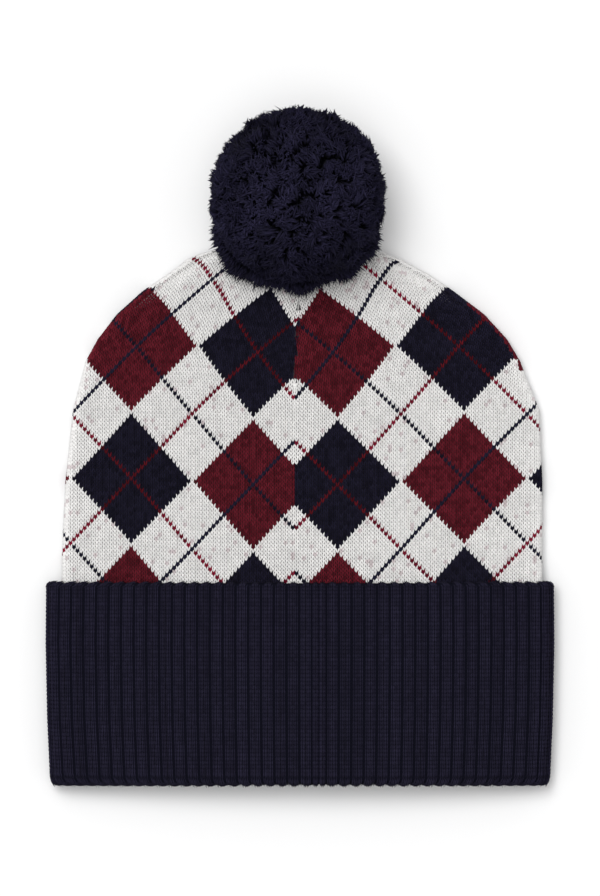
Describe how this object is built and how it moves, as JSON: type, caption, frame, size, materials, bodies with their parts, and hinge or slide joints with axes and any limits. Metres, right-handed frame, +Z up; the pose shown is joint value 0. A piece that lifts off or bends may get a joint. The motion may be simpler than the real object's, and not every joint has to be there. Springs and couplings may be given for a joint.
{
  "type": "pompom beanie",
  "caption": "Knitted winter beanie laid flat: an argyle jacquard crown gathered at the tip, a turned-up ribbed cuff and a round yarn pompom.",
  "frame": {"origin": "under the middle of the laid hat, on the surface that it lies on", "axes": "+Y from the cuff's rim to the pompom, +Z up out of the visible back of the hat, +X across to the right"},
  "size_m": [0.225, 0.3, 0.0754],
  "materials": {
    "crown_knit": "fine jacquard knit in off-white, burgundy and navy wool blend",
    "cuff_rib": "navy rib knit",
    "pompom_yarn": "dark navy curly plush yarn",
    "tie_yarn": "plain navy yarn"
  },
  "bodies": {
    "root": {"crown": "crown_knit", "cuff": "cuff_rib", "pompom": "pompom_yarn", "pompom_tie": "tie_yarn"}
  },
  "joints": []
}
